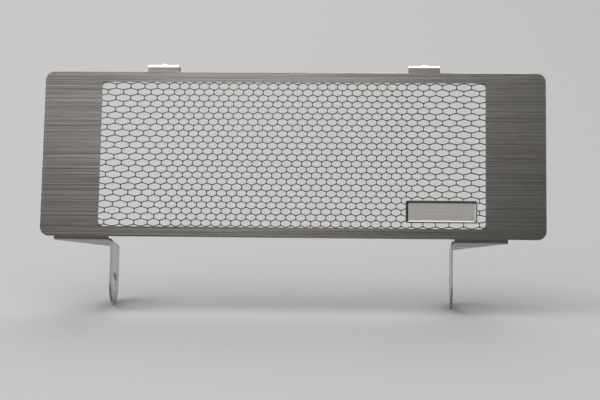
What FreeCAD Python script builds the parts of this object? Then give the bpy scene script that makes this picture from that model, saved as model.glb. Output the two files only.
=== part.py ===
import FreeCAD, Part
import math
import os
import Sketcher
from FreeCAD import Placement, Rotation, Vector

# Oil cooler guard of a motorbike: one stainless steel sheet, cut out flat and then folded.
# A wide plate with a honeycomb window stands in front of the cooler. Two straps fold back
# over the cooler's top and end in a short lip. Under the plate two flanges fold back, and
# from the inner end of each a leg folds down, with an eye for a spring.
# Frame: X along the plate, Y from its front to its back, Z up. The origin lies under the
# middle of the plate, at half the guard's depth, level with the ends of the legs.
# All the features are built with the plate's front face at Y = 0 and its lower edge at Z = 0.

doc = FreeCAD.newDocument("oil_cooler_guard")

# Driving dimensions in millimetres
DIMENSIONS = [
    ("sheet_thickness", 1.2, "stainless steel sheet"),
    ("bend_inside", 0.7, "inner radius of every fold"),
    ("plate_width", 280.0, "plate, end to end"),
    ("plate_height", 93.4, "plate, lower edge to upper edge"),
    ("plate_corner", 5.0, "radius of the plate's corners"),
    ("layout_shift", -0.5, "middle of the window and of the straps, from the plate's middle"),
    ("window_width", 214.0, "honeycomb window, left to right"),
    ("window_height", 82.1, "honeycomb window, bottom to top"),
    ("window_corner", 3.0, "radius of the window's corners"),
    ("border_below", 6.0, "solid border under the window"),
    ("row_count", 17, "rows of cells, one above the other"),
    ("cell_pitch", 7.9, "width of a cell in the middle of the window"),
    ("even_steps", 14, "half cells of even width to each side of the middle"),
    ("step_growth", 0.245, "how much each half cell beyond them is wider than the last"),
    ("rib_width", 0.95, "width of the ribs between the cells"),
    ("smallest_opening", 4.0, "cells cut smaller than this area by a border stay closed"),
    ("name_field_width", 38.6, "bare field in the honeycomb, left to right"),
    ("name_field_height", 13.0, "bare field, bottom to top"),
    ("name_field_inset", 4.4, "bare field, from the window's right side"),
    ("name_field_above", 2.7, "bare field, from the window's lower side"),
    ("name_field_corner", 1.2, "radius of the bare field's corners"),
    ("name_field_rim", 0.75, "flat rim round the recess"),
    ("name_field_slope", 1.1, "sloping wall of the recess, seen from the front"),
    ("name_field_depth", 0.5, "depth of the recess"),
    ("strap_width", 17.7, "straps on the upper edge"),
    ("strap_spacing", 146.1, "between the middles of the two straps"),
    ("strap_rise", 3.2, "flat part of a strap above the plate"),
    ("strap_depth", 8.0, "from the plate's front to the outside of the lip"),
    ("lip_length", 5.2, "flat part of the lip"),
    ("lip_corner", 3.0, "radius of the lip's corners"),
    ("bead_height", 0.5, "stiffening bead over the strap's front fold"),
    ("bead_width", 3.4, "width of that bead"),
    ("flange_width", 30.0, "flanges on the lower edge, along the plate"),
    ("flange_spacing", 190.4, "between the inner ends of the two flanges"),
    ("flange_shift", -6.2, "middle between the two flanges, from the plate's middle"),
    ("flange_tip", 1.2, "depth left at the outer end of a flange"),
    ("leg_gap", 0.5, "relief between the flange's fold and the leg's front edge"),
    ("leg_width", 27.6, "legs, front to back"),
    ("leg_drop", 23.0, "from the plate's lower edge to the middle of the eye"),
    ("eye_diameter", 10.6, "hole for the spring's hook"),
]

sizes = doc.addObject("Spreadsheet::Sheet", "sizes")
for row, (alias, amount, note) in enumerate(DIMENSIONS, start=1):
    sizes.set(f"A{row}", note)
    sizes.set(f"B{row}", str(amount))
    sizes.setAlias(f"B{row}", alias)
doc.recompute()

# Lengths that several features share, written from the sheet's cells
BEND_OUTSIDE = "(sizes.sheet_thickness + sizes.bend_inside)"
STRAP_TOP = f"(sizes.plate_height + sizes.strap_rise + {BEND_OUTSIDE})"
BEAD_TOP = f"({BEND_OUTSIDE} + sizes.bead_height)"
LEG_FRONT = f"({BEND_OUTSIDE} + sizes.leg_gap)"
LEG_BACK = f"({LEG_FRONT} + sizes.leg_width)"
LEG_TOP = f"(-sizes.bend_inside - {BEND_OUTSIDE})"
LEG_END = "(sizes.leg_drop + sizes.leg_width / 2)"
WINDOW_RIGHT = "(sizes.layout_shift + sizes.window_width / 2)"
EYE_DEPTH = f"({LEG_FRONT} + sizes.leg_width / 2)"
BEAD_ROOT = f"({BEND_OUTSIDE} - sizes.sheet_thickness / 4)"
BEAD_RADIUS = "((sizes.bead_width^2 / 4 + sizes.bead_height^2) / (2 * sizes.bead_height))"
FIELD_RIGHT = f"({WINDOW_RIGHT} - sizes.name_field_inset)"
FIELD_BOTTOM = "(sizes.border_below + sizes.name_field_above)"

# Every fold is square
RIGHT_ANGLE = 90

# Places nearer to each other than this are one
NEARNESS = 1e-4

body = doc.addObject("PartDesign::Body", "folded_sheet")


def amount_of(expression):
    """What an expression comes to with the sizes as they are."""
    return float(body.evalExpression(expression))


def bind(item, **expressions):
    """Ties properties to the sheet; a double underscore stands for the dot in a name."""
    for name, expression in expressions.items():
        item.setExpression(name.replace("__", "."), expression)


def sketch_on(role, name, x="0", y="0", depth="0", turn=None):
    """A sketch on one of the body's own planes, moved in that plane's axes."""
    sketch = body.newObject("Sketcher::SketchObject", name)
    plane = next(item for item in body.Origin.OriginFeatures if item.Role == role)
    sketch.AttachmentSupport = (plane, [""])
    sketch.MapMode = "FlatFace"
    sketch.AttachmentOffset = Placement(Vector(), turn or Rotation())
    bind(sketch, AttachmentOffset__Base__x=x, AttachmentOffset__Base__y=y,
         AttachmentOffset__Base__z=depth)
    return sketch


def dimension(sketch, kind, where, name, expression):
    """One named measure of a sketch, tied to the sheet."""
    number = sketch.addConstraint(Sketcher.Constraint(kind, *where, amount_of(expression)))
    sketch.renameConstraint(number, name)
    sketch.setExpression(f"Constraints.{name}", expression)


def outline(sketch, corners, arc_centre=None):
    """A closed outline of straight sides; each corner is a pair of expressions.
    With the height of an arc's centre given, the last side bulges down round that centre."""
    count = len(corners)
    start = [Vector(amount_of(across), amount_of(up), 0) for across, up in corners]
    for index in range(count if arc_centre is None else count - 1):
        sketch.addGeometry(Part.LineSegment(start[index], start[(index + 1) % count]), False)
    if arc_centre is not None:
        centre = Vector((start[-1].x + start[0].x) / 2, amount_of(arc_centre), 0)
        lowest = centre - Vector(0, (start[0] - centre).Length, 0)
        sketch.addGeometry(Part.Arc(start[-1], lowest, start[0]), False)
    for index, (across, up) in enumerate(corners):
        before = (index - 1) % count
        sketch.addConstraint(Sketcher.Constraint("Coincident", before, 2, index, 1))
        dimension(sketch, "DistanceX", (index, 1), f"x{index}", across)
        dimension(sketch, "DistanceY", (index, 1), f"y{index}", up)
    if arc_centre is not None:
        dimension(sketch, "DistanceY", (count - 1, 3), "arc_centre", arc_centre)
    return sketch


def rectangle(sketch, left, bottom, right, top):
    return outline(sketch, [(left, bottom), (right, bottom), (right, top), (left, top)])


def pad(sketch, name, length, reverse=False):
    """Flat sheet: the outline given its thickness, along the plane's normal."""
    doc.recompute()
    feature = body.newObject("PartDesign::Pad", name)
    feature.Profile = sketch
    feature.Reversed = reverse
    bind(feature, Length=length)
    doc.recompute()
    return feature


def fold(sketch, name, reverse=False, midplane=False, angle=str(RIGHT_ANGLE)):
    """A bend: the strip's section turned about the sketch's own horizontal axis."""
    doc.recompute()
    feature = body.newObject("PartDesign::Revolution", name)
    feature.Profile = sketch
    feature.ReferenceAxis = (sketch, ["H_Axis"])
    feature.Reversed = reverse
    feature.Midplane = midplane
    bind(feature, Angle=angle)
    doc.recompute()
    return feature


def runs_through_sheet(edge):
    """Whether an edge runs straight from the plate's front to its back."""
    return edge.BoundBox.XLength + edge.BoundBox.ZLength < NEARNESS


def round_corners(name, radius, at):
    """Rounds the sheet's corners that lie at the given pairs of x and z."""
    def through_a_corner(edge):
        middle = edge.BoundBox.Center
        return runs_through_sheet(edge) and any(
            math.hypot(middle.x - x, middle.z - z) < NEARNESS for x, z in at)

    base = body.Tip
    edges = [f"Edge{number}" for number, edge in enumerate(base.Shape.Edges, start=1)
             if through_a_corner(edge)]
    feature = body.newObject("PartDesign::Fillet", name)
    feature.Base = (base, edges)
    bind(feature, Radius=radius)
    doc.recompute()
    return feature


# Plate, with rounded corners
doc.recompute()
pad(rectangle(sketch_on("XZ_Plane", "plate_outline"), "-sizes.plate_width / 2", "0",
              "sizes.plate_width / 2", "sizes.plate_height"),
    "plate", "sizes.sheet_thickness", reverse=True)
plate_end = sizes.plate_width / 2
round_corners("plate_corners", "sizes.plate_corner",
              [(x, z) for x in (-plate_end, plate_end) for z in (0, sizes.plate_height)])

# Bare field: a shallow recess with sloping walls and a flat floor
def field_section(name, inset, depth):
    return rectangle(
        sketch_on("XZ_Plane", name, depth=f"-{depth}"),
        f"{FIELD_RIGHT} - sizes.name_field_width + {inset}", f"{FIELD_BOTTOM} + {inset}",
        f"{FIELD_RIGHT} - {inset}", f"{FIELD_BOTTOM} + sizes.name_field_height - {inset}")


mouth = field_section("recess_mouth", "sizes.name_field_rim", "0")
floor = field_section("recess_floor", "(sizes.name_field_rim + sizes.name_field_slope)",
                      "sizes.name_field_depth")
doc.recompute()
recess = body.newObject("PartDesign::SubtractiveLoft", "recess")
recess.Profile = mouth
recess.Sections = [floor]
recess.Ruled = True
doc.recompute()

# Straps: up from the plate, back over the cooler, and down into a lip
for side, sign in (("left", "-"), ("right", "+")):
    middle = f"(sizes.layout_shift {sign} sizes.strap_spacing / 2)"
    edge_a, edge_b = f"({middle} - sizes.strap_width / 2)", f"({middle} + sizes.strap_width / 2)"
    pad(rectangle(sketch_on("XZ_Plane", f"{side}_strap_rise_outline"), edge_a, "sizes.plate_height",
                  edge_b, "sizes.plate_height + sizes.strap_rise"),
        f"{side}_strap_rise", "sizes.sheet_thickness", reverse=True)
    fold(rectangle(sketch_on("XY_Plane", f"{side}_strap_front_section", y=BEND_OUTSIDE,
                             depth="sizes.plate_height + sizes.strap_rise"),
                   edge_a, f"-{BEND_OUTSIDE}", edge_b, "-sizes.bend_inside"),
         f"{side}_strap_front_fold", reverse=True)
    pad(rectangle(sketch_on("XY_Plane", f"{side}_strap_top_outline", depth=STRAP_TOP),
                  edge_a, BEND_OUTSIDE, edge_b, f"sizes.strap_depth - {BEND_OUTSIDE}"),
        f"{side}_strap_top", "sizes.sheet_thickness", reverse=True)
    fold(rectangle(sketch_on("XZ_Plane", f"{side}_strap_rear_section",
                             y=f"{STRAP_TOP} - {BEND_OUTSIDE}",
                             depth=f"-(sizes.strap_depth - {BEND_OUTSIDE})"),
                   edge_a, "sizes.bend_inside", edge_b, BEND_OUTSIDE),
         f"{side}_strap_rear_fold", reverse=True)
    lip_top = f"({STRAP_TOP} - {BEND_OUTSIDE})"
    pad(rectangle(sketch_on("XZ_Plane", f"{side}_lip_outline", depth="-sizes.strap_depth"),
                  edge_a, f"{lip_top} - sizes.lip_length", edge_b, lip_top),
        f"{side}_lip", "sizes.sheet_thickness")
    lip_end = amount_of(f"{lip_top} - sizes.lip_length")
    round_corners(f"{side}_lip_corners", "sizes.lip_corner",
                  [(amount_of(edge_a), lip_end), (amount_of(edge_b), lip_end)])

    # The bead's section is a low arch on the fold's outside, drawn half way round the fold.
    # Its ends run out in the flats
    bead = sketch_on("XY_Plane", f"{side}_bead_section", x=middle, y=BEND_OUTSIDE,
                     depth="sizes.plate_height + sizes.strap_rise",
                     turn=Rotation(Vector(1, 0, 0), -RIGHT_ANGLE / 2))
    bead_side = "sizes.bead_width / 2"
    outline(bead, [(bead_side, f"-{BEND_OUTSIDE}"), (bead_side, f"-{BEAD_ROOT}"),
                   (f"-{bead_side}", f"-{BEAD_ROOT}"), (f"-{bead_side}", f"-{BEND_OUTSIDE}")],
            arc_centre=f"{BEAD_RADIUS} - {BEAD_TOP}")
    fold(bead, f"{side}_bead", midplane=True,
         angle=f"{RIGHT_ANGLE} deg + 2 * acos({BEND_OUTSIDE} / {BEAD_TOP})")

# Brackets: a flange back from the plate's lower edge, and a leg down from its inner end
for side, sign, rightward in (("left", "-", False), ("right", "+", True)):
    inner = f"(sizes.flange_shift {sign} sizes.flange_spacing / 2)"
    outer = f"({inner} {sign} sizes.flange_width)"
    ends = (inner, outer) if rightward else (outer, inner)
    fold(rectangle(sketch_on("XY_Plane", f"{side}_flange_section", y=BEND_OUTSIDE),
                   ends[0], f"-{BEND_OUTSIDE}", ends[1], "-sizes.bend_inside"),
         f"{side}_flange_fold")
    pad(outline(sketch_on("XY_Plane", f"{side}_flange_outline", depth=f"-{BEND_OUTSIDE}"),
                [(outer, BEND_OUTSIDE), (inner, BEND_OUTSIDE), (inner, LEG_BACK),
                 (outer, f"{BEND_OUTSIDE} + sizes.flange_tip")]),
        f"{side}_flange", "sizes.sheet_thickness")
    fold(rectangle(sketch_on("YZ_Plane", f"{side}_leg_section", y=LEG_TOP, depth=inner),
                   LEG_FRONT, "sizes.bend_inside", LEG_BACK, BEND_OUTSIDE),
         f"{side}_leg_fold", reverse=rightward)
    towards_middle = "-" if rightward else "+"
    leg = outline(sketch_on("YZ_Plane", f"{side}_leg_outline",
                            depth=f"{inner} {towards_middle} sizes.bend_inside"),
                  [(LEG_BACK, "-sizes.leg_drop"), (LEG_BACK, LEG_TOP), (LEG_FRONT, LEG_TOP),
                   (LEG_FRONT, "-sizes.leg_drop")],
                  arc_centre="-sizes.leg_drop")
    round_end, eye = 3, 4
    leg.addGeometry(Part.Circle(Vector(amount_of(EYE_DEPTH), -sizes.leg_drop, 0),
                                Vector(0, 0, 1), sizes.eye_diameter / 2), False)
    leg.addConstraint(Sketcher.Constraint("Coincident", eye, 3, round_end, 3))
    dimension(leg, "Diameter", (eye,), "eye", "sizes.eye_diameter")
    pad(leg, f"{side}_leg", "sizes.sheet_thickness", reverse=rightward)

# Honeycomb cells: rows of hexagons, every second row half a cell further along
half_window = sizes.window_width / 2
window_bottom = sizes.border_below
row_pitch = sizes.window_height / (sizes.row_count + 1 / 3)
cut_depth = 3 * sizes.sheet_thickness


def rib_at(step):
    """Where a rib stands, counted in half cells from the middle of the window."""
    beyond = max(0, abs(step) - sizes.even_steps)
    away = abs(step) * sizes.cell_pitch / 2 + sizes.step_growth * beyond * (beyond + 1) / 2
    return math.copysign(away, step)


def hexagon(step, level):
    """One cell between the middles of its ribs, on the step and the level of its own middle."""
    left, middle, right = (rib_at(step + side) for side in (-1, 0, 1))
    shoulder, peak = row_pitch / 3, row_pitch * 2 / 3
    corners = [Vector(left, 0, level - shoulder), Vector(middle, 0, level - peak),
               Vector(right, 0, level - shoulder), Vector(right, 0, level + shoulder),
               Vector(middle, 0, level + peak), Vector(left, 0, level + shoulder)]
    return Part.Face(Part.makePolygon(corners + corners[:1]))


def through_sheet(face):
    """The face drawn out from before the plate's front to behind its back."""
    face.translate(Vector(0, -sizes.sheet_thickness, 0))
    return face.extrude(Vector(0, cut_depth, 0))


def block(left, bottom, width, height, corner):
    """A rectangle with rounded corners, drawn out through the sheet."""
    sharp = through_sheet(Part.makePlane(width, height, Vector(left, 0, bottom + height),
                                         Vector(0, 1, 0), Vector(1, 0, 0)))
    return sharp.makeFillet(corner, [edge for edge in sharp.Edges if runs_through_sheet(edge)])


outermost = sizes.even_steps
while rib_at(outermost) < half_window:
    outermost += 1
hexagons = [hexagon(step, window_bottom + row_pitch * (row + 2 / 3))
            for row in range(sizes.row_count)
            for step in range(-outermost, outermost + 1) if (step + row + outermost) % 2]
honeycomb = Part.makeCompound([
    through_sheet(cell.makeOffset2D(-sizes.rib_width / 2, join=2)) for cell in hexagons])

window = block(-half_window, window_bottom, sizes.window_width, sizes.window_height,
               sizes.window_corner)
name_field = block(half_window - sizes.name_field_inset - sizes.name_field_width,
                   amount_of(FIELD_BOTTOM), sizes.name_field_width, sizes.name_field_height,
                   sizes.name_field_corner)
openings = honeycomb.common(window).cut(name_field).Solids
cells = doc.addObject("Part::Feature", "cells")
cells.Shape = Part.makeCompound([
    opening for opening in openings if opening.Volume > cut_depth * sizes.smallest_opening])
bind(cells, Placement__Base__x="sizes.layout_shift")
doc.recompute()

guard = doc.addObject("Part::Cut", "guard")
guard.Base = body
guard.Tool = cells
guard.Refine = False
guard.Label = "guard_panel"
bind(guard, Placement__Base__y=f"-({LEG_BACK} - sizes.bead_height) / 2", Placement__Base__z=LEG_END)
doc.recompute()

failed = [item.Name for item in doc.Objects if {"Invalid", "Error"} & set(item.State)]
if failed:
    raise RuntimeError(f"not built: {failed}")
if guard.Shape.isNull() or not guard.Shape.isValid() or len(guard.Shape.Solids) != 1:
    raise RuntimeError("the guard is not one valid solid")
print("cells", len(cells.Shape.Solids), "volume", round(guard.Shape.Volume, 1), guard.Shape.BoundBox)

os.makedirs("parts", exist_ok=True)
guard.Shape.exportStep(f"parts/{guard.Label}.step")
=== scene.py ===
import math

import bmesh
import bpy
from mathutils import Matrix, Vector


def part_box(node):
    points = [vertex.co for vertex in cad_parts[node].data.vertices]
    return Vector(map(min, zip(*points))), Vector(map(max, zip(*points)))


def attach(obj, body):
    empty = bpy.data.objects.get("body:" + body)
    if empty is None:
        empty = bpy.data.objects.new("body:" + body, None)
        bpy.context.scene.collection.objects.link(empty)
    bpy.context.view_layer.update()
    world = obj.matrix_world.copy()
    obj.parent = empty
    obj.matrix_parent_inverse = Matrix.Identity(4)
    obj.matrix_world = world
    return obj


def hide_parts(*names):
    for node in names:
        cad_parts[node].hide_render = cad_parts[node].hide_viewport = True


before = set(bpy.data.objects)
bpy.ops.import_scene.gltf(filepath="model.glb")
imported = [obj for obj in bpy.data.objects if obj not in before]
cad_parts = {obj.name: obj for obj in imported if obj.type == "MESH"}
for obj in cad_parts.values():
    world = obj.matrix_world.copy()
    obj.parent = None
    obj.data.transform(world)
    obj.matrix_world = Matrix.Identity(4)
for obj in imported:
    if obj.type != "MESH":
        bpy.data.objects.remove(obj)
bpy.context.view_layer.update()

# The plate is the wide front of the guard: stainless steel sheet 1.2 mm thick, brushed along
# its length, with rounded corners. Everything else is folded from the same sheet or cut
# through it, so the sheet's front skin is drawn and folded first, and then gets its thickness.
MM = 0.001
QUARTER_TURN = math.radians(90)
SHEET = 1.2 * MM
BEND_INSIDE = 0.7 * MM
BEND_OUTSIDE = BEND_INSIDE + SHEET
FOLD_STEPS = 10
PLATE_HEIGHT = 93.4 * MM
PLATE_CORNER = 5 * MM
LAYOUT_SHIFT = -0.5 * MM
STRAP_RISE = 2.45 * MM
BEAD_HEIGHT = 0.8 * MM
LEG_GAP = 0.5 * MM
LEG_WIDTH = 27.6 * MM

# The plate's front and height follow from what is folded behind and above it, and the window
# and the straps are laid out from a line just beside its middle
low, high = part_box("guard_panel")
plate_front = high.y - LEG_WIDTH - LEG_GAP - BEND_OUTSIDE
strap_top = high.z - BEAD_HEIGHT
plate_top = strap_top - BEND_OUTSIDE - STRAP_RISE
plate_bottom = plate_top - PLATE_HEIGHT
plate_width = high.x - low.x
plate_middle = (low.x + high.x) / 2
layout_middle = plate_middle + LAYOUT_SHIFT


def flat_sheet(centre, width, height, turn=QUARTER_TURN):
    """A plain rectangle. A quarter turn stands it up, to face the front."""
    bpy.ops.object.select_all(action="DESELECT")
    bpy.ops.mesh.primitive_plane_add(size=1, location=centre, rotation=(turn, 0, 0))
    sheet = bpy.context.object
    sheet.scale = (width, height, 1)
    bpy.ops.object.transform_apply(location=True, rotation=True, scale=True)
    return sheet


def pick(kind, lowest, highest):
    """In edit mode, selects the corners or edges that lie wholly inside a box, and no others."""
    bpy.ops.mesh.select_mode(type=kind)
    bpy.ops.mesh.select_all(action="DESELECT")
    mesh = bmesh.from_edit_mesh(bpy.context.object.data)
    slack = 0.01 * MM
    for item in mesh.verts if kind == "VERT" else mesh.edges:
        corners = [item] if kind == "VERT" else item.verts
        item.select_set(all(lowest[axis] - slack <= corner.co[axis] <= highest[axis] + slack
                            for corner in corners for axis in range(3)))
    mesh.select_flush_mode()
    bmesh.update_edit_mesh(bpy.context.object.data)


def cut_across(*places):
    """Divides the skin by upright lines, so that a fold can start and end at them."""
    for x in places:
        bpy.ops.mesh.select_all(action="SELECT")
        bpy.ops.mesh.bisect(plane_co=(x, 0, 0), plane_no=(1, 0, 0))


def draw_on(y=0, z=0):
    """Extrudes what is selected by so much along y and z."""
    bpy.ops.mesh.extrude_region_move(TRANSFORM_OT_translate={"value": (0, y, z)})


def fold(axis, y, z, x=0):
    """Bends the sheet on from the selected edge, a quarter turn about an axis.
    Spin turns clockwise round its axis, so the quarter turn is a negative one."""
    bpy.ops.mesh.spin(steps=FOLD_STEPS, angle=-QUARTER_TURN, center=(x, y, z), axis=axis)


guard = flat_sheet((plate_middle, plate_front, (plate_bottom + plate_top) / 2),
                   plate_width, PLATE_HEIGHT)
guard.name = "guard_sheet"
bpy.ops.object.mode_set(mode="EDIT")
bpy.ops.mesh.bevel(offset=PLATE_CORNER, segments=10, affect="VERTICES")

# Two straps hold the guard to the cooler. Each runs up from the plate's upper edge, folds
# back over the cooler's upper rim and ends in a short lip with rounded corners behind it.
STRAP_WIDTH = 17.7 * MM
STRAP_SPACING = 146.1 * MM
STRAP_DEPTH = 8 * MM
LIP_LENGTH = 5.2 * MM
LIP_CORNER = 3 * MM
front_fold = plate_front + BEND_OUTSIDE
rear_fold = plate_front + STRAP_DEPTH - BEND_OUTSIDE
lip_top = strap_top - BEND_OUTSIDE
lip_end = lip_top - LIP_LENGTH
strap_middles = [layout_middle + side * STRAP_SPACING / 2 for side in (-1, 1)]
for middle in strap_middles:
    left, right = middle - STRAP_WIDTH / 2, middle + STRAP_WIDTH / 2
    cut_across(left, right)
    pick("EDGE", (left, plate_front, plate_top), (right, plate_front, plate_top))
    draw_on(z=STRAP_RISE)
    fold((-1, 0, 0), front_fold, plate_top + STRAP_RISE)
    draw_on(y=rear_fold - front_fold)
    fold((-1, 0, 0), rear_fold, lip_top)
    draw_on(z=-LIP_LENGTH)
    pick("VERT", (left, plate_front, lip_end), (right, high.y, lip_end))
    bpy.ops.mesh.bevel(offset=LIP_CORNER, segments=6, affect="VERTICES")

# Two brackets hang under the plate. A flange folds back from the lower edge, cut slanting to
# a point at its outer end, and a leg folds down from its inner end and is rounded below. The
# ends are measured from the plate's middle, the left bracket's first.
INNER_ENDS = (-101.4 * MM, 89.6 * MM)
OUTER_ENDS = (-132 * MM, 119 * MM)
FLANGE_TIP = 1.2 * MM
LEG_DROP = 23.45 * MM
LEG_END = 12.2 * MM
flange_under = plate_bottom - BEND_OUTSIDE
leg_front = front_fold + LEG_GAP
leg_back = leg_front + LEG_WIDTH
leg_fold = flange_under - BEND_INSIDE
eye_level = plate_bottom - LEG_DROP
leg_faces = []
for side, inner_end, outer_end in zip((-1, 1), INNER_ENDS, OUTER_ENDS):
    inner, outer = plate_middle + inner_end, plate_middle + outer_end
    leg_face = inner - side * BEND_INSIDE
    leg_faces.append(leg_face)
    cut_across(inner, outer)
    pick("EDGE", (min(inner, outer), plate_front, plate_bottom),
         (max(inner, outer), plate_front, plate_bottom))
    fold((1, 0, 0), front_fold, plate_bottom)
    draw_on(y=LEG_GAP)
    draw_on(y=LEG_WIDTH)
    far_corner = (outer, leg_back, flange_under)
    pick("VERT", far_corner, far_corner)
    bpy.ops.transform.translate(value=(0, FLANGE_TIP - LEG_GAP - LEG_WIDTH, 0))
    pick("EDGE", (inner, leg_front, flange_under), (inner, leg_back, flange_under))
    fold((0, -side, 0), 0, leg_fold, x=inner)
    draw_on(z=eye_level - leg_fold)
    draw_on(z=-LEG_END)
    pick("VERT", (leg_face, leg_front, eye_level - LEG_END),
         (leg_face, leg_back, eye_level - LEG_END))
    bpy.ops.mesh.bevel(offset=LEG_END, segments=16, affect="VERTICES")

# The folded skin gets the sheet's thickness, and the press and the brush leave its outer
# edges slightly broken. A fold's steps turn by less than the sharp angle and stay as they are.
EDGE_BREAK = 0.12 * MM
SHARP_ANGLE = math.radians(40)
bpy.ops.mesh.select_all(action="SELECT")
bpy.ops.mesh.remove_doubles(threshold=EDGE_BREAK / 10)
bpy.ops.object.mode_set(mode="OBJECT")


def finish_with(shape, kind, **settings):
    """Adds a modifier with its settings and applies it."""
    bpy.context.view_layer.objects.active = shape
    modifier = shape.modifiers.new(kind.lower(), kind)
    for name, value in settings.items():
        setattr(modifier, name, value)
    bpy.ops.object.modifier_apply(modifier=modifier.name)


finish_with(guard, "SOLIDIFY", thickness=SHEET, offset=-1, use_even_offset=True,
            use_quality_normals=True)
finish_with(guard, "BEVEL", width=EDGE_BREAK, segments=2, limit_method="ANGLE",
            angle_limit=SHARP_ANGLE)

# A small bead is pressed into the middle of each strap's front fold, to keep it from opening.
# Its section is a low arch, which runs round the fold and out into the flats on both sides.
# The arch is the cap of a disc, cut off just under the sheet's skin and spun round the fold.
BEAD_WIDTH = 5.2 * MM
BEAD_STEPS = 18
arch_radius = (BEAD_WIDTH ** 2 / 4 + BEAD_HEIGHT ** 2) / (2 * BEAD_HEIGHT)
run_out = math.acos(BEND_OUTSIDE / (BEND_OUTSIDE + BEAD_HEIGHT))
bead_root = BEND_OUTSIDE - SHEET / 4
fold_axis = Vector((0, front_fold + BEAD_HEIGHT, plate_top + STRAP_RISE))
outward = Vector((0, -math.cos(run_out), -math.sin(run_out)))


def combine(shape, operation, tool):
    """Joins a closed solid to a shape, or cuts or trims the shape with it, and uses it up."""
    finish_with(shape, "BOOLEAN", operation=operation, object=tool, solver="MANIFOLD")
    bpy.data.objects.remove(tool)


for middle in strap_middles:
    centre = fold_axis + outward * (BEND_OUTSIDE + BEAD_HEIGHT - arch_radius)
    centre.x = middle
    bpy.ops.object.select_all(action="DESELECT")
    bpy.ops.mesh.primitive_circle_add(vertices=96, radius=arch_radius, fill_type="NGON",
                                      location=centre, rotation=(math.pi + run_out, 0, 0))
    bead = bpy.context.object
    bpy.ops.object.transform_apply(location=True, rotation=True, scale=True)
    bpy.ops.object.mode_set(mode="EDIT")
    bpy.ops.mesh.select_all(action="SELECT")
    bpy.ops.mesh.bisect(plane_co=fold_axis + outward * bead_root, plane_no=outward,
                        clear_inner=True)
    bpy.ops.mesh.select_all(action="SELECT")
    bpy.ops.mesh.spin(steps=BEAD_STEPS, angle=-(QUARTER_TURN + 2 * run_out),
                      center=fold_axis, axis=(-1, 0, 0))
    bpy.ops.mesh.select_all(action="SELECT")
    bpy.ops.mesh.normals_make_consistent(inside=False)
    bpy.ops.object.mode_set(mode="OBJECT")
    combine(guard, "UNION", bead)

# The honeycomb is cut through the plate: rows of hexagons with rounded corners, every second
# row half a cell further along. The cells are all alike in the middle of the window and get
# wider towards both ends, while the ribs between them keep their width.
ROWS = 24
FIRST_ROW = 7.95 * MM
ROW_PITCH = 3.361 * MM
HALF_CELL = 2.765 * MM
EVEN_STEPS = 23
WIDER_STEPS = 13
STEP_GROWTH = 0.149 * MM
RIB_WIDTH = 0.42 * MM
CELL_ROUNDING = 0.5 * MM
WINDOW_WIDTH = 214.4 * MM
WINDOW_HEIGHT = 82.15 * MM
WINDOW_CORNER = 3 * MM
BORDER_BELOW = 5.6 * MM
CUT_DEPTH = 3 * SHEET
sheet_middle = plate_front + SHEET / 2
window_left = layout_middle - WINDOW_WIDTH / 2
window_bottom = plate_bottom + BORDER_BELOW
last_step = EVEN_STEPS + WIDER_STEPS


def rib_place(step):
    """Where a rib stands, counted in half cells from the middle of the window."""
    beyond = max(0, abs(step) - EVEN_STEPS)
    away = abs(step) * HALF_CELL + STEP_GROWTH * beyond * (beyond + 1) / 2
    return layout_middle + math.copysign(away, step)


# The first cell is a hexagon that stands on a corner. It is sized so that the rows mesh,
# copied into the next row and repeated both ways. Then the cells' corners move sideways to
# the ribs' real places, and every cell shrinks by half a rib.
bpy.ops.object.select_all(action="DESELECT")
first_cell = (layout_middle - last_step * HALF_CELL, sheet_middle,
              plate_bottom + FIRST_ROW - ROW_PITCH)
bpy.ops.mesh.primitive_circle_add(vertices=6, radius=1, fill_type="NGON", location=first_cell,
                                  rotation=(QUARTER_TURN, 0, 0))
cells = bpy.context.object
cells.name = "honeycomb_cells"
cells.scale = (HALF_CELL / math.cos(math.radians(30)), ROW_PITCH * 2 / 3, 1)
bpy.ops.object.transform_apply(location=True, rotation=True, scale=True)
bpy.ops.object.mode_set(mode="EDIT")
bpy.ops.mesh.duplicate_move(TRANSFORM_OT_translate={"value": (HALF_CELL, 0, ROW_PITCH)})
bpy.ops.object.mode_set(mode="OBJECT")
for count, distance in ((last_step + 1, (2 * HALF_CELL, 0, 0)),
                        (ROWS // 2 + 1, (0, 0, 2 * ROW_PITCH))):
    finish_with(cells, "ARRAY", count=count, use_relative_offset=False,
                use_constant_offset=True, constant_offset_displace=distance)
for corner in cells.data.vertices:
    corner.co.x = rib_place(round((corner.co.x - layout_middle) / HALF_CELL))
bpy.ops.object.mode_set(mode="EDIT")
bpy.ops.mesh.select_mode(type="FACE")
bpy.ops.mesh.select_all(action="SELECT")
bpy.ops.mesh.inset(thickness=RIB_WIDTH / 2, use_even_offset=True, use_individual=True)
bpy.ops.mesh.select_all(action="INVERT")
bpy.ops.mesh.delete(type="FACE")
bpy.ops.mesh.select_all(action="SELECT")
bpy.ops.mesh.bevel(offset=CELL_ROUNDING, segments=2, affect="VERTICES")
bpy.ops.object.mode_set(mode="OBJECT")
finish_with(cells, "SOLIDIFY", thickness=CUT_DEPTH, offset=0)

# The bare field stands in the window's lower right part, with the cells cut off round it. A
# shallow recess with sloping walls is pressed into it and leaves a flat rim.
FIELD_WIDTH = 39.3 * MM
FIELD_HEIGHT = 12.4 * MM
FIELD_INSET = 4.6 * MM
FIELD_ABOVE = 3.35 * MM
FIELD_CORNER = 1.2 * MM
FIELD_RIM = 0.55 * MM
FIELD_SLOPE = 0.85 * MM
FIELD_DEPTH = 0.47 * MM
field_left = layout_middle + WINDOW_WIDTH / 2 - FIELD_INSET - FIELD_WIDTH
field_bottom = window_bottom + FIELD_ABOVE


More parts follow.
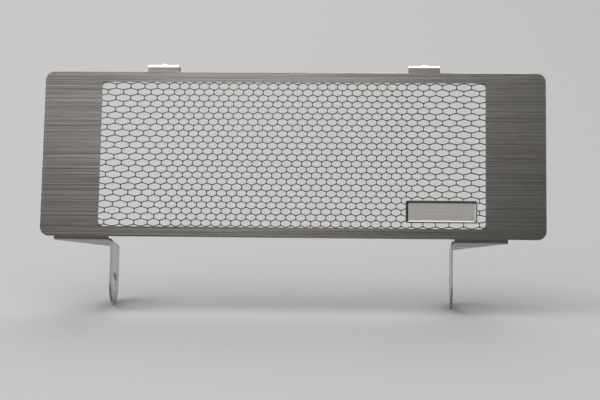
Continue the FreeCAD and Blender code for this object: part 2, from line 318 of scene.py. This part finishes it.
def rounded_block(left, bottom, width, height, corner):
    """A cutter in the shape of a rectangle with rounded corners, right through the sheet."""
    cutter = flat_sheet((left + width / 2, sheet_middle, bottom + height / 2), width, height)
    bpy.ops.object.mode_set(mode="EDIT")
    bpy.ops.mesh.bevel(offset=corner, segments=8, affect="VERTICES")
    bpy.ops.object.mode_set(mode="OBJECT")
    finish_with(cutter, "SOLIDIFY", thickness=CUT_DEPTH, offset=0)
    return cutter


combine(cells, "INTERSECT", rounded_block(window_left, window_bottom, WINDOW_WIDTH,
                                          WINDOW_HEIGHT, WINDOW_CORNER))
combine(cells, "DIFFERENCE", rounded_block(field_left, field_bottom, FIELD_WIDTH, FIELD_HEIGHT,
                                           FIELD_CORNER))
combine(guard, "DIFFERENCE", cells)

# The recess's cutter starts at its floor and comes out in front of the sheet by its depth
# again, so at that end it is wider by twice the slope at each side
floor_inset = FIELD_RIM + FIELD_SLOPE
recess_width = FIELD_WIDTH - 2 * floor_inset
recess_height = FIELD_HEIGHT - 2 * floor_inset
recess_middle = Vector((field_left + FIELD_WIDTH / 2, plate_front + FIELD_DEPTH,
                        field_bottom + FIELD_HEIGHT / 2))
recess = flat_sheet(recess_middle, recess_width, recess_height)
bpy.ops.object.mode_set(mode="EDIT")
bpy.ops.mesh.bevel(offset=FIELD_CORNER - FIELD_RIM, segments=6, affect="VERTICES")
bpy.ops.mesh.select_all(action="SELECT")
draw_on(y=-2 * FIELD_DEPTH)
bpy.ops.transform.resize(
    value=(1 + 4 * FIELD_SLOPE / recess_width, 1, 1 + 4 * FIELD_SLOPE / recess_height),
    center_override=recess_middle)
bpy.ops.mesh.select_all(action="SELECT")
bpy.ops.mesh.normals_make_consistent(inside=False)
bpy.ops.object.mode_set(mode="OBJECT")
combine(guard, "DIFFERENCE", recess)

# A round eye is punched through the middle of each leg. The end hook of a tension spring goes
# into it, to pull the guard against the cooler.
EYE_DIAMETER = 10.6 * MM
eye_middle = leg_front + LEG_WIDTH / 2
for leg_face in leg_faces:
    bpy.ops.object.select_all(action="DESELECT")
    bpy.ops.mesh.primitive_cylinder_add(
        vertices=64, radius=EYE_DIAMETER / 2, depth=4 * SHEET,
        location=(leg_face, eye_middle, eye_level), rotation=(0, QUARTER_TURN, 0))
    eye = bpy.context.object
    bpy.ops.object.transform_apply(location=True, rotation=True, scale=True)
    combine(guard, "DIFFERENCE", eye)

# Folds, beads and rounded ends are smooth in the light, and the edges between the sheet's
# faces stay crisp.
SMOOTH_ANGLE = math.radians(22)
bpy.ops.object.select_all(action="DESELECT")
guard.select_set(True)
bpy.context.view_layer.objects.active = guard
bpy.ops.object.shade_smooth_by_angle(angle=SMOOTH_ANGLE)
finish_with(guard, "WEIGHTED_NORMAL", mode="FACE_AREA", weight=50, keep_sharp=True)

# The sheet is stainless steel with a brushed finish. The belt has left fine lines along the
# sheet, some longer and deeper than the rest, and they turn down with it on the legs. The
# sheet's own map runs along the lines and across them, so that the pattern follows the folds.
STEEL = (0.60, 0.575, 0.55)
LINE_SIZES = ((240 * MM, 0.33 * MM), (360 * MM, 0.5 * MM), (45 * MM, 0.22 * MM))
SET_DISTANCE = 7.3
SCRATCH_SPAN, SCRATCH_WEIGHT = (0.57, 0.7), 0.25
SHORT_LINES_WEIGHT = 0.5
RELIEF_SPAN = (0.5, 1.0)
GLOSS_CHANGE = 0.06
BUMP_STRENGTH = 0.5
ALONG_THE_LINES = 0.25

# The lower folds, which look down and to the front, get painted shade: their colour is darkened,
# and so is the ribs' colour. Between two heights, painted light and shade take the steel's
# colour
# from one factor to another: darker below and lighter above up the whole guard, lighter under
# the flanges, darker at the window's lower border and at the legs' ends.
FOLD_PAINTED_SHADE = 0.62
LOOKS_DOWN = (-0.5, -0.1)
LOOKS_FRONT = (-0.4, -0.1)
# Painted light and shade by height: two heights, and the colour factors at and beyond them
PAINTED_HEIGHT_LIGHT = (((plate_bottom, strap_top), (0.76, 1.26)),
                ((flange_under - MM, flange_under), (1.52, 1)),
                ((window_bottom - MM, window_bottom + MM), (0.9, 1)),
                ((eye_level - LEG_END, eye_level), (0.82, 1)))

brush_map = guard.data.uv_layers.new(name="brush_map")
for face in guard.data.polygons:
    facing = [abs(amount) for amount in face.normal]
    along, across = {0: (2, 1), 1: (0, 2), 2: (0, 1)}[facing.index(max(facing))]
    for loop in face.loop_indices:
        place = guard.data.vertices[guard.data.loops[loop].vertex_index].co
        brush_map.data[loop].uv = (place[along], place[across])


def add_node(tree, kind, **settings):
    """A new node, with settings of its own or values for its sockets by their names."""
    node = tree.nodes.new(kind)
    for name, value in settings.items():
        if hasattr(node, name):
            setattr(node, name, value)
        else:
            node.inputs[name.replace("_", " ")].default_value = value
    return node


def calculate(tree, operation, *terms):
    """One sum of two or three terms, each a socket or a plain number."""
    node = add_node(tree, "ShaderNodeMath", operation=operation)
    for socket, term in zip(node.inputs, terms):
        if isinstance(term, bpy.types.NodeSocket):
            tree.links.new(term, socket)
        else:
            socket.default_value = term
    return node.outputs[0]


def graded(tree, value, span, amounts, smooth=False):
    """Goes from one amount to another while a value passes through a span."""
    node = add_node(tree, "ShaderNodeMapRange",
                    interpolation_type="SMOOTHSTEP" if smooth else "LINEAR",
                    From_Min=span[0], From_Max=span[1], To_Min=amounts[0], To_Max=amounts[1])
    tree.links.new(value, node.inputs["Value"])
    return node.outputs["Result"]


def parts_of(tree, vector):
    """A vector's X, Y and Z, by these names."""
    node = add_node(tree, "ShaderNodeSeparateXYZ")
    tree.links.new(vector, node.inputs["Vector"])
    return node.outputs


def shaded(tree, colour, factor):
    """A colour made darker or lighter by a factor."""
    node = add_node(tree, "ShaderNodeVectorMath", operation="SCALE")
    node.inputs[0].default_value = colour
    tree.links.new(factor, node.inputs["Scale"])
    return node.outputs["Vector"]


# One set of brushed lines: noise that is drawn out along the sheet. Each set has a length and
# a width, and a number that takes it to another part of the noise.
lines = bpy.data.node_groups.new("brushed_lines", "ShaderNodeTree")
for socket, kind in (("Map", "NodeSocketVector"), ("Length", "NodeSocketFloat"),
                     ("Width", "NodeSocketFloat"), ("Set", "NodeSocketFloat")):
    lines.interface.new_socket(socket, in_out="INPUT", socket_type=kind)
lines.interface.new_socket("Lines", in_out="OUTPUT", socket_type="NodeSocketFloat")
lines_in = lines.nodes.new("NodeGroupInput")
lines_out = lines.nodes.new("NodeGroupOutput")
per_size = add_node(lines, "ShaderNodeCombineXYZ")
stretched = add_node(lines, "ShaderNodeVectorMath", operation="MULTIPLY")
apart = add_node(lines, "ShaderNodeCombineXYZ")
moved = add_node(lines, "ShaderNodeVectorMath", operation="ADD")
belt = add_node(lines, "ShaderNodeTexNoise", noise_dimensions="3D", Scale=1, Detail=2,
                Roughness=0.55)
for given, taken in (
        (calculate(lines, "DIVIDE", 1, lines_in.outputs["Length"]), per_size.inputs["X"]),
        (calculate(lines, "DIVIDE", 1, lines_in.outputs["Width"]), per_size.inputs["Y"]),
        (lines_in.outputs["Map"], stretched.inputs[0]),
        (per_size.outputs["Vector"], stretched.inputs[1]),
        (lines_in.outputs["Set"], apart.inputs["Z"]),
        (stretched.outputs["Vector"], moved.inputs[0]),
        (apart.outputs["Vector"], moved.inputs[1]),
        (moved.outputs["Vector"], belt.inputs["Vector"]),
        (belt.outputs["Fac"], lines_out.inputs["Lines"])):
    lines.links.new(given, taken)


def steel_finish(name, colour, roughness, brushing, contrast, depth, rib_painted_shade=0):
    """Steel with lines along the sheet, which vary its colour, gloss and surface.
    Its colour also gets painted shade and painted light.
    """
    material = bpy.data.materials.new(name)
    material.use_nodes = True
    tree = material.node_tree
    shader = tree.nodes["Principled BSDF"]
    shader.inputs["Metallic"].default_value = 1
    shader.inputs["Anisotropic"].default_value = brushing
    shader.inputs["Anisotropic Rotation"].default_value = ALONG_THE_LINES
    tangent = add_node(tree, "ShaderNodeTangent", direction_type="UV_MAP", uv_map="brush_map")
    tree.links.new(tangent.outputs["Tangent"], shader.inputs["Tangent"])

    on_map = add_node(tree, "ShaderNodeUVMap", uv_map="brush_map")
    sets = []
    for number, (length, width) in enumerate(LINE_SIZES):
        one_set = add_node(tree, "ShaderNodeGroup", node_tree=lines, Length=length,
                           Width=width, Set=SET_DISTANCE * number)
        tree.links.new(on_map.outputs["UV"], one_set.inputs["Map"])
        sets.append(one_set.outputs["Lines"])
    scratches = graded(tree, sets[1], SCRATCH_SPAN, (0, SCRATCH_WEIGHT), smooth=True)
    short_lines = calculate(tree, "MULTIPLY", sets[2], SHORT_LINES_WEIGHT)
    relief = calculate(tree, "ADD", calculate(tree, "ADD", sets[0], scratches), short_lines)

    place = add_node(tree, "ShaderNodeTexCoord")
    facing = parts_of(tree, place.outputs["Normal"])
    spot = parts_of(tree, place.outputs["Object"])
    on_lower_fold = calculate(tree, "MULTIPLY",
                              graded(tree, facing["Z"], LOOKS_DOWN, (1, 0), smooth=True),
                              graded(tree, facing["Y"], LOOKS_FRONT, (1, 0), smooth=True))
    in_window = calculate(
        tree, "MULTIPLY",
        calculate(tree, "COMPARE", spot["X"], layout_middle, WINDOW_WIDTH / 2),
        calculate(tree, "COMPARE", spot["Z"], window_bottom + WINDOW_HEIGHT / 2,
                  WINDOW_HEIGHT / 2))
    brightness = graded(tree, relief, RELIEF_SPAN, (1 - contrast, 1 + contrast))
    # Painted shade: the colour is darkened on the lower folds and on the ribs
    for where, painted_shade in ((on_lower_fold, FOLD_PAINTED_SHADE), (in_window, rib_painted_shade)):
        left_over = calculate(tree, "SUBTRACT", 1, calculate(tree, "MULTIPLY", where, painted_shade))
        brightness = calculate(tree, "MULTIPLY", brightness, left_over)
    # Painted light and shade by height
    for heights, factors in PAINTED_HEIGHT_LIGHT:
        brightness = calculate(tree, "MULTIPLY", brightness,
                               graded(tree, spot["Z"], heights, factors))
    tree.links.new(shaded(tree, colour, brightness), shader.inputs["Base Color"])

    gloss = graded(tree, relief, RELIEF_SPAN,
                   (roughness + GLOSS_CHANGE, roughness - GLOSS_CHANGE))
    tree.links.new(gloss, shader.inputs["Roughness"])
    bump = add_node(tree, "ShaderNodeBump", Strength=BUMP_STRENGTH, Distance=depth)
    tree.links.new(relief, bump.inputs["Height"])
    tree.links.new(bump.outputs["Normal"], shader.inputs["Normal"])
    return material


# The ribs' colour is painted darker by half, as painted shade on the thin ribs.
guard.data.materials.clear()
guard.data.materials.append(steel_finish(
    "brushed_steel", STEEL, roughness=0.3, brushing=0.85, contrast=0.9, depth=0.006 * MM,
    rib_painted_shade=0.5))

# Inside the bare field the steel is not brushed: the press leaves its floor lighter and more
# matt, and rubs its sloping walls smooth. The legs' edges are as the shears left them, matt
# and lighter than the brushed skin.
FIELD_STEEL = (1.0, 0.975, 0.95)
WALL_STEEL = (0.33, 0.325, 0.32)
EDGE_STEEL = (0.8, 0.775, 0.75)
guard.data.materials.append(steel_finish(
    "pressed_steel", FIELD_STEEL, roughness=0.65, brushing=0, contrast=0.08, depth=0.002 * MM))
guard.data.materials.append(steel_finish(
    "rubbed_steel", WALL_STEEL, roughness=0.16, brushing=0, contrast=0.1, depth=0.002 * MM))
guard.data.materials.append(steel_finish(
    "sheared_steel", EDGE_STEEL, roughness=0.55, brushing=0, contrast=0.1, depth=0.004 * MM))

# A leg's edges are what doesn't look sideways below its fold, and the field's floor is what
# looks straight to the front inside the rim, behind the plate's face
PRESSED, RUBBED, SHEARED = 1, 2, 3
SIDEWAYS = 0.5
STRAIGHT = 0.98
field_right, field_top = field_left + FIELD_WIDTH, field_bottom + FIELD_HEIGHT
for face in guard.data.polygons:
    x, y, z = face.center
    if z < leg_fold and abs(face.normal.x) < SIDEWAYS:
        face.material_index = SHEARED
    if (field_left + FIELD_RIM < x < field_right - FIELD_RIM
            and field_bottom + FIELD_RIM < z < field_top - FIELD_RIM
            and plate_front + 0.1 * FIELD_DEPTH < y < plate_front + 1.1 * FIELD_DEPTH):
        face.material_index = PRESSED if abs(face.normal.y) > STRAIGHT else RUBBED

# The guard is one folded sheet in which nothing moves. It stands for the whole of the CAD
# panel and takes its finish.
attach(guard, "root")
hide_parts("guard_panel")

# The camera stands in front of the guard and a little to its right, at the photograph's
# angle. The guard leans back from it, so from the upright guard it stands low and looks up.
CAMERA_PLACE = Vector((55.408, -995.071, -104.073)) * MM
CAMERA_RISE = math.radians(9.396)
CAMERA_SWING = math.radians(2.975)
CAMERA_ROLL = math.radians(0.964)
bpy.ops.object.camera_add(location=CAMERA_PLACE)
camera = bpy.context.object
camera.name = "photo_camera"
camera.rotation_euler = (Matrix.Rotation(CAMERA_SWING, 3, "Z")
                         @ Matrix.Rotation(QUARTER_TURN + CAMERA_RISE, 3, "X")
                         @ Matrix.Rotation(CAMERA_ROLL, 3, "Z")).to_euler()
camera.data.lens = 108
camera.data.sensor_width = 36
bpy.context.scene.camera = camera
bpy.context.scene.view_settings.view_transform = "Standard"

# The guard stands on the ends of its legs and leans back. The floor is one pale sheet that
# fills the picture. Only the part near the guard shows in the metal, and from below the floor
# lets the camera through, so that the guard shows from there too.
LEAN = math.radians(21.4)
FLOOR_COLOUR = (0.157, 0.157, 0.157)
FLOOR_ROUGHNESS = 0.9
# Painted shade: the floor's grey is darkened by a tenth towards the right, across a span of x
FLOOR_PAINTED_SHADE = 0.9
PAINTED_SHADE_SPAN = (-0.15, 0.4)
FLOOR_WIDTH = 16
FLOOR_BEHIND = 8
FLOOR_BEFORE = 3
FLOOR_MIRRORED = 185 * MM
foot = Vector((plate_middle, leg_back - LEG_END + LEG_END * math.sin(LEAN),
               eye_level - LEG_END * math.cos(LEAN)))
level = Matrix.Rotation(LEAN, 3, "X")
floor = flat_sheet(foot + level @ Vector((0, (FLOOR_BEHIND - FLOOR_BEFORE) / 2, 0)),
                   FLOOR_WIDTH, FLOOR_BEHIND + FLOOR_BEFORE, turn=LEAN)
floor.name = "studio_floor"
paper = bpy.data.materials.new("floor_paper")
paper.use_nodes = True
paper_tree = paper.node_tree
paper_shader = paper_tree.nodes["Principled BSDF"]
paper_shader.inputs["Roughness"].default_value = FLOOR_ROUGHNESS
paper_shader.inputs["Specular IOR Level"].default_value = 0
floor_spot = parts_of(paper_tree, add_node(paper_tree, "ShaderNodeTexCoord").outputs["Object"])
# Painted shade on the floor, darker towards the right
floor_painted_shade = graded(paper_tree, floor_spot["X"], PAINTED_SHADE_SPAN, (1, FLOOR_PAINTED_SHADE))
paper_tree.links.new(shaded(paper_tree, FLOOR_COLOUR, floor_painted_shade),
                     paper_shader.inputs["Base Color"])
rays = add_node(paper_tree, "ShaderNodeLightPath").outputs
from_below = calculate(paper_tree, "MULTIPLY",
                       add_node(paper_tree, "ShaderNodeNewGeometry").outputs["Backfacing"],
                       rays["Is Camera Ray"])
unmirrored = calculate(paper_tree, "MULTIPLY",
                       calculate(paper_tree, "LESS_THAN", floor_spot["Y"],
                                 foot.y - FLOOR_MIRRORED * math.cos(LEAN)),
                       rays["Is Glossy Ray"])
clear = add_node(paper_tree, "ShaderNodeBsdfTransparent")
either = add_node(paper_tree, "ShaderNodeMixShader")
surface = paper_tree.nodes["Material Output"].inputs["Surface"]
for given, taken in (
        (calculate(paper_tree, "MAXIMUM", from_below, unmirrored), either.inputs["Fac"]),
        (paper_shader.outputs["BSDF"], either.inputs[1]),
        (clear.outputs["BSDF"], either.inputs[2]), (either.outputs["Shader"], surface)):
    paper_tree.links.new(given, taken)
floor.data.materials.append(paper)


# Soft studio light comes from overhead. One broad light hangs over the guard's top and shows
# as the bright lines on the straps, one stands behind it and one in front on the left. Three
# more light the floor and soften its shadow, and don't show in the metal.
def soft_light(name, leftward, forward, energy, spread):
    """A broad soft light from overhead, leaning by so much to the left and to the front."""
    towards = level @ Vector((-math.tan(math.radians(leftward)),
                              -math.tan(math.radians(forward)), 1))
    bpy.ops.object.light_add(type="SUN", location=foot + towards,
                             rotation=towards.to_track_quat("Z", "Y").to_euler())
    light = bpy.context.object
    light.name = name
    light.data.energy = energy
    light.data.angle = math.radians(spread)
    return light


soft_light("front_light", leftward=8, forward=-2, energy=1.3, spread=44)
soft_light("rear_light", leftward=-6, forward=-42, energy=1.6, spread=40)
soft_light("left_light", leftward=53, forward=46, energy=0.5, spread=36)
for name, leftward, forward, energy, spread in (("floor_light", 2, 24, 2.4, 70),
                                                ("side_light", 36, -9, 4, 34),
                                                ("low_light", -10, -36, 3.6, 60)):
    soft_light(name, leftward, forward, energy, spread).visible_glossy = False

# The room round the guard is dim near the floor and lighter higher up. A bright stretch stands
# just left of its middle and a dark one right of that, before it gets lighter again far to the
# right. The camera sees the floor's own grey in it.
ROOM_COLOUR = (1, 0.985, 0.965, 1)
SEEN_COLOUR = (0.55, 0.55, 0.55, 1)
RISE_SPAN, RISE_STRENGTHS = (0.3, 0.95), (0.1, 0.5)
SIDE_SPAN = (-0.25, 0.55)
SIDE_STRENGTHS = ((0, 0.4), (0.125, 0.8), (0.235, 1.95), (0.3, 0.6), (0.36, 0.16), (0.5, 0.12),
                  (1, 1))
world = bpy.context.scene.world or bpy.data.worlds.new("studio")
bpy.context.scene.world = world
world.use_nodes = True
room = world.node_tree
room.nodes.clear()
levelled = add_node(room, "ShaderNodeVectorRotate", rotation_type="X_AXIS", Angle=-LEAN)
room.links.new(add_node(room, "ShaderNodeTexCoord").outputs["Generated"],
               levelled.inputs["Vector"])
heading = parts_of(room, levelled.outputs["Vector"])
rise = graded(room, heading["Z"], RISE_SPAN, RISE_STRENGTHS, smooth=True)
sideways = add_node(room, "ShaderNodeValToRGB")
sideways.color_ramp.interpolation = "EASE"
stops = sideways.color_ramp.elements
for place, strength in SIDE_STRENGTHS[1:-1]:
    stops.new(place)
for stop, (place, strength) in zip(stops, SIDE_STRENGTHS):
    stop.color = (strength, strength, strength, 1)
glow = add_node(room, "ShaderNodeBackground", Color=ROOM_COLOUR)
seen = add_node(room, "ShaderNodeBackground", Color=SEEN_COLOUR, Strength=1)
choice = add_node(room, "ShaderNodeMixShader")
for given, taken in (
        (graded(room, heading["X"], SIDE_SPAN, (0, 1)), sideways.inputs["Fac"]),
        (calculate(room, "MULTIPLY", rise, sideways.outputs["Color"]), glow.inputs["Strength"]),
        (add_node(room, "ShaderNodeLightPath").outputs["Is Camera Ray"], choice.inputs["Fac"]),
        (glow.outputs["Background"], choice.inputs[1]),
        (seen.outputs["Background"], choice.inputs[2]),
        (choice.outputs["Shader"], add_node(room, "ShaderNodeOutputWorld").inputs["Surface"])):
    room.links.new(given, taken)
